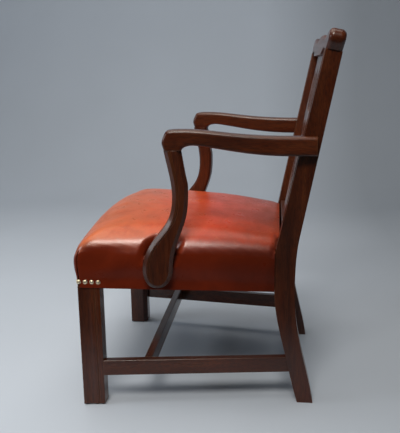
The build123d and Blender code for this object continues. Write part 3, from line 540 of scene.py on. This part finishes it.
def evened(piece, moved, rounds):
    """Movements of a mesh's points, each shared with its neighbours."""
    ends = np.zeros(len(piece.data.edges) * 2, dtype=np.int32)
    piece.data.edges.foreach_get("vertices", ends)
    first, second = ends.reshape(-1, 2).T
    count = np.bincount(ends, minlength=len(moved))[:, None] + 1
    for _ in range(rounds):
        total = moved.copy()
        np.add.at(total, first, moved[second])
        np.add.at(total, second, moved[first])
        moved = total / count
    return moved


def inflate(piece, pressure, cap, held):
    """Swells a closed mesh as leather over stuffing; held is 1 where a point stays."""
    start = coordinates_of(piece)
    group = piece.vertex_groups.new(name="held")
    for place, weight in enumerate(held):
        if weight > 0:
            group.add([place], float(weight), "REPLACE")
    modifier = piece.modifiers.new("cloth", "CLOTH")
    settings = modifier.settings
    settings.quality = 6
    settings.mass = 0.6
    settings.tension_stiffness = 40
    settings.compression_stiffness = 40
    settings.shear_stiffness = 20
    settings.bending_stiffness = 4
    settings.use_pressure = True
    settings.uniform_pressure_force = pressure
    settings.vertex_group_mass = "held"
    settings.effector_weights.gravity = 0
    modifier.point_cache.frame_start = 1
    modifier.point_cache.frame_end = 20
    for step in range(1, 21):
        scene.frame_set(step)
    swollen = piece.evaluated_get(bpy.context.evaluated_depsgraph_get())
    after = np.zeros(len(start) * 3)
    swollen.data.vertices.foreach_get("co", after)
    moved = after.reshape(-1, 3) - start
    piece.modifiers.clear()
    piece.vertex_groups.clear()
    scene.frame_set(1)
    length = np.linalg.norm(moved, axis=1, keepdims=True)
    moved *= np.minimum(1, cap / np.maximum(length, 1e-9))
    set_coordinates(piece, start + evened(piece, moved, 14))


def voxels(piece, size):
    modifier = piece.modifiers.new("voxels", "REMESH")
    modifier.mode = "VOXEL"
    modifier.voxel_size = size
    apply_modifiers(piece)


def smooth(piece, rounds):
    modifier = piece.modifiers.new("smooth", "SMOOTH")
    modifier.factor = 0.5
    modifier.iterations = rounds
    apply_modifiers(piece)


def rise_of(at):
    """Heights of points above the rails' lower edges."""
    return at[:, 2] - rail_level(at[:, 1])


def keep_outside(piece, clear):
    """Moves a skin out where it comes nearer to the frame's outer faces than the leather is thick."""
    at = coordinates_of(piece)
    across = (np.abs(at[:, 0]) - HALF_FRONT) * math.cos(LEAN) + (at[:, 1] - FRONT) * math.sin(LEAN)
    ahead = FRONT - at[:, 1]
    r = LEG_ROUND
    at_corner = (across > -r) & (ahead > -r)
    past = np.hypot(across + r, ahead + r)
    outset = np.where(at_corner, past - r, np.maximum(across, ahead))
    side = np.column_stack((np.sign(at[:, 0]) * math.cos(LEAN), np.full(len(at), math.sin(LEAN))))
    front = np.array((0.0, -1.0))
    turned = (across + r)[:, None] * side + (ahead + r)[:, None] * front
    turned /= np.maximum(np.linalg.norm(turned, axis=1), 1e-6)[:, None]
    way = np.where(at_corner[:, None], turned, np.where((across > ahead)[:, None], side, front))
    low = rise_of(at) < HESSIAN_TOP + 0.004
    short = np.where(low & (outset > -0.006), np.maximum(clear - outset, 0), 0)
    at[:, :2] += way * short[:, None]
    set_coordinates(piece, at)


def press(piece, node, reach, depth, start):
    """Draws the leather in where it is pulled round a solid, above a starting height."""
    held = nodes[node].data
    tree = BVHTree.FromPolygons([v.co for v in held.vertices], [p.vertices for p in held.polygons])
    at = coordinates_of(piece)
    normals = np.zeros(len(at) * 3)
    piece.data.vertices.foreach_get("normal", normals)
    normals = normals.reshape(-1, 3)
    rise = rise_of(at)
    for place in np.nonzero(rise > start)[0]:
        found = tree.find_nearest(Vector(at[place]), reach)
        if found[0] is not None:
            share = 1 - found[3] / reach
            at[place] -= normals[place] * depth * share**1.5 * min(1, (rise[place] - start) / 0.02)
    set_coordinates(piece, at)


def pleat(side):
    """A blade along the fold at a front corner: up the corner, then back over the rim."""
    rings = []
    for rise, degrees, width in PLEAT:
        outset = np.interp(rise, (0.0145, 0.036, 0.052, 0.08), (0.0016, 0.0052, 0.0072, 0.0060))
        round_here = np.interp(rise, (0.0, 0.052, 0.09), (0.005, 0.013, 0.018))
        angle = math.radians(degrees)
        centre = np.array((half_width(FRONT) + outset - round_here, FRONT - outset + round_here))
        out = np.array((math.cos(angle), math.sin(angle)))
        along = np.array((-out[1], out[0])) * width / 2000
        surface = centre + out * round_here
        bottom = surface - out * PLEAT_DEPTH
        brim = surface + out * PLEAT_BRIM
        corners = [bottom - along * 0.6, brim - along, brim + along, bottom + along * 0.6]
        rings.append(np.array([(side * x, y, rail_level(y) + rise) for x, y in corners]))
    blade = ringed("pleat_space", rings)
    outward(blade)
    return blade


seat = seat_block()
voxels(seat, 0.004)
smooth(seat, 3)
at = coordinates_of(seat)
low = np.clip((0.03 - rise_of(at)) / 0.02, 0, 1)
behind = np.clip((at[:, 1] - 0.11) / 0.02, 0, 1)
inflate(seat, 4.0, 0.002, np.maximum(low, behind))
divide = seat.modifiers.new("divide", "SUBSURF")
divide.levels = divide.render_levels = 1
apply_modifiers(seat)
for node in ("arm_support_left", "arm_support_right"):
    press(seat, node, 0.015, 0.010, 0.045)
for node in ("back_leg_left", "back_leg_right"):
    press(seat, node, 0.012, 0.005, 0.03)
smooth(seat, 2)
keep_outside(seat, LEATHER)
whole = [(-FAR, -FAR), (FAR, -FAR), (FAR, FAR), (-FAR, FAR)]
cut(seat, prism("under_seat", whole, "z", -0.06, -HEM))
left_corner = corner_arc(LEG_ROUND)
rear = half_width(BEHIND_SEAT)
plan = left_corner + [(rear, BEHIND_SEAT), (-rear, BEHIND_SEAT)] + mirrored(left_corner)
cut(seat, prism("frame_space", plan, "z", 0.0, HESSIAN_TOP))
cut(seat, prism("hem_space", frame_corners(HEM_WIDTH, BEHIND_SEAT), "z", -0.03, 0.001))
inner_x = HALF_FRONT - LEG
leg_back = FRONT + LEG
leg_plan = [(inner_x, FRONT), (HALF_FRONT, FRONT), (half_width(leg_back), leg_back), (inner_x, leg_back)]
cut(seat, prism("leg_left_space", leg_plan, "z", -0.03, 0.0002))
cut(seat, prism("leg_right_space", mirrored(leg_plan), "z", -0.03, 0.0002))
for node in ("arm_support_left", "arm_support_right", "brass_nails_left", "brass_nails_right"):
    cut(seat, solid_copy(node))
stile_side = [
    (SEAT_BACK, 0.15),
    (FAR, 0.15),
    (FAR, FAR),
    (SEAT_BACK + (FAR - RAIL_TOP) * RAKE, FAR),
    (SEAT_BACK, RAIL_TOP),
]
cut(seat, prism("stile_left_space", stile_side, "x", STILE_INNER, 0.3))
cut(seat, prism("stile_right_space", stile_side, "x", -0.3, -STILE_INNER))
shoe_plan = [(-0.3, SHOE_FRONT), (0.3, SHOE_FRONT), (0.3, FAR), (-0.3, FAR)]
cut(seat, prism("shoe_space", shoe_plan, "z", -0.06, 0.2))
for side in (1, -1):
    cut(seat, pleat(side))
for face in seat.data.polygons:
    face.use_smooth = True
seat.data.materials.clear()
seat.data.materials.append(leather)
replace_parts(seat, "seat_cover", "seat_stuffing")
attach(seat, "root")

# Webbing and hessian under the seat: straps over and under each other, tacked to the rails


def tack_line(y):
    """Half width between the lines where straps and hessian are tacked to the side rails."""
    return half_width(y) - TACKED_IN / math.cos(LEAN)


def strap(name, edges, rises, thickness):
    """A flat strap: pairs of edge points along it, and the height of its middle at each pair."""
    rings = []
    for (left, right), rise in zip(edges, rises):
        low = rise - thickness / 2
        corners = ((left, low), (right, low), (right, low + thickness), (left, low + thickness))
        rings.append(np.array([(x, y, rail_level(y) + at) for (x, y), at in corners]))
    made = ringed(name, rings)
    outward(made)
    made.data.materials.append(webbing_cloth)
    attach(made, "root")
    return made


STRAP = 0.045
STRAP_THICK = 0.001
WAVE = 0.00085
ON_RAIL = 0.0541
OFF_RAIL = 0.052
RAIL_BACK = SEAT_BACK + 0.002
clear_depth = RAIL_BACK - FRONT - 0.020
cross_pitch = clear_depth / 3
length_pitch = 2 * STILE_INNER / 3
first_cross = FRONT + 0.020 + cross_pitch / 2
for place in range(3):
    y = first_cross + place * cross_pitch
    sign = 1 if place % 2 else -1
    front_end = tack_line(y - STRAP / 2)
    back_end = tack_line(y + STRAP / 2)
    shares = np.linspace(-1, 1, 61)
    edges = [((share * front_end, y - STRAP / 2), (share * back_end, y + STRAP / 2)) for share in shares]
    middles = shares * (front_end + back_end) / 2
    rises = WEBBING_MIDDLE + sign * WAVE * np.cos(math.pi * middles / length_pitch)
    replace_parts(strap(f"cross_strap_{place + 1}", edges, rises, STRAP_THICK), "webbing_crosswise")
for place in range(3):
    x = (place - 1) * length_pitch
    sign = 1 if place % 2 else -1
    depths = np.linspace(FRONT + TACKED_IN, SHOE_FRONT - 0.0005, 61)
    edges = [((x + STRAP / 2, y), (x - STRAP / 2, y)) for y in depths]
    rises = WEBBING_MIDDLE + sign * WAVE * np.cos(math.pi * (depths - first_cross) / cross_pitch)
    rail_edges = (FRONT + 0.022, FRONT + 0.05, RAIL_BACK - 0.03, RAIL_BACK - 0.002)
    lifted = np.maximum(rises, np.interp(depths, rail_edges, (ON_RAIL, OFF_RAIL, OFF_RAIL, ON_RAIL)))
    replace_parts(strap(f"length_strap_{place + 1}", edges, lifted, STRAP_THICK), "webbing_lengthwise")

sheet_back = SHOE_FRONT - 0.0005
cloth_edges = []
for y in np.linspace(FRONT + TACKED_IN, sheet_back, 25):
    half = tack_line(y)
    if y > SEAT_BACK - 0.0005:
        half = STILE_INNER - 0.0005
    cloth_edges.append((y, half))
shares = np.linspace(-1, 1, 33)
grid = [(share * half, y, rail_level(y) + 0.0555) for y, half in cloth_edges for share in shares]
wide = len(shares)
faces = []
for row in range(len(cloth_edges) - 1):
    for place in range(wide - 1):
        corner = row * wide + place
        faces.append((corner, corner + 1, corner + wide + 1, corner + wide))
hessian = mesh_object("hessian_cloth", grid, faces)
hessian.data.materials.append(hessian_cloth)
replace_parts(hessian, "hessian")
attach(hessian, "root")

# Stage: floor and backdrop in one sweep, pale up to the picture's near edge and dark past it, and darker
# towards the right; both darkenings are painted shade

BEND_START = -1.5
BEND = 0.9
profile = [(3.0, 0.0), (BEND_START, 0.0)]
for step in range(1, 13):
    angle = math.radians(7.5 * step)
    profile.append((BEND_START - BEND * math.sin(angle), BEND - BEND * math.cos(angle)))
profile.append((BEND_START - BEND, 4.0))
vertices = [(x, y, z) for x, z in profile for y in (-5.0, 5.0)]
faces = [(2 * n, 2 * n + 1, 2 * n + 3, 2 * n + 2) for n in range(len(profile) - 1)]
sweep = mesh_object("sweep", vertices, faces)
for face in sweep.data.polygons:
    face.use_smooth = True
paper = Shader("sweep_paper")
speckle = paper.noise(paper.coordinates(), 1.5, 2.0)
tone = paper.ramp(speckle, (0.3, (0.56, 0.625, 0.71)), (0.7, (0.59, 0.658, 0.75)))
axes = paper.node("SeparateXYZ", Vector=paper.coordinates())
# Painted shade: the paper darkens towards +Y, away from the window light.
tone = paper.mix(1.0, tone, paper.ramp(axes.outputs["Y"], (0.05, 1.0), (0.55, 0.66)), "MULTIPLY")
# Painted shade: the paper turns dark between the picture's near edge and the camera, standing in for a
# shaded room that the chair's near sides reflect.
painted_shade_past_edge = paper.ramp(axes.outputs["X"], (0.345, 0.0), (0.56, 1.0))
paper.set(Base_Color=paper.mix(painted_shade_past_edge, tone, (0.05, 0.054, 0.058)))
paper.set(Roughness=0.85)
sweep.data.materials.append(paper.material)

# Light


def area_light(name, place, target, size, power, colour):
    data = bpy.data.lights.new(name, "AREA")
    data.shape = "RECTANGLE"
    data.size, data.size_y = size
    data.energy = power
    data.color = colour
    lamp = bpy.data.objects.new(name, data)
    lamp.location = place
    lamp.rotation_euler = (Vector(target) - Vector(place)).to_track_quat("-Z", "Y").to_euler()
    scene.collection.objects.link(lamp)


WARM = (1.0, 0.94, 0.86)
area_light("overhead", (-0.1, -0.35, 2.2), (0, -0.1, 0.3), (2.0, 2.0), 27, WARM)
area_light("key", (1.66, -0.15, 2.16), (0, 0, 0.2), (0.9, 0.6), 33, WARM)
area_light("window", (0.5, -2.2, 1.1), (0, 0, 0.35), (0.8, 0.7), 10, (0.92, 0.96, 1.0))
world = bpy.data.worlds.new("room")
world.use_nodes = True
background = world.node_tree.nodes["Background"]
background.inputs["Color"].default_value = (0.6, 0.8, 1.0, 1)
background.inputs["Strength"].default_value = 0.058
scene.world = world

# Camera, at the place that fits the chair's edges in the photograph

CAMERA_PLACE = (1.26143, 0.12679, 0.6126)
FOCAL_PIXELS = 633.6
IMAGE_HEIGHT = 433
SENSOR = 36.0
yaw, pitch, roll = (math.radians(degrees) for degrees in (6.97, 13.21, -0.73))
forward = Vector((-math.cos(yaw) * math.cos(pitch), -math.sin(yaw) * math.cos(pitch), -math.sin(pitch)))
level_right = forward.cross(Vector((0, 0, 1))).normalized()
level_up = level_right.cross(forward)
right = math.cos(roll) * level_right + math.sin(roll) * level_up
up = math.cos(roll) * level_up - math.sin(roll) * level_right
data = bpy.data.cameras.new("camera")
data.sensor_width = SENSOR
data.lens = SENSOR * FOCAL_PIXELS / IMAGE_HEIGHT
camera = bpy.data.objects.new("camera", data)
turn = Matrix((right, up, -forward)).transposed().to_4x4()
camera.matrix_world = Matrix.Translation(CAMERA_PLACE) @ turn
scene.collection.objects.link(camera)
scene.camera = camera
scene.view_settings.view_transform = "Standard"
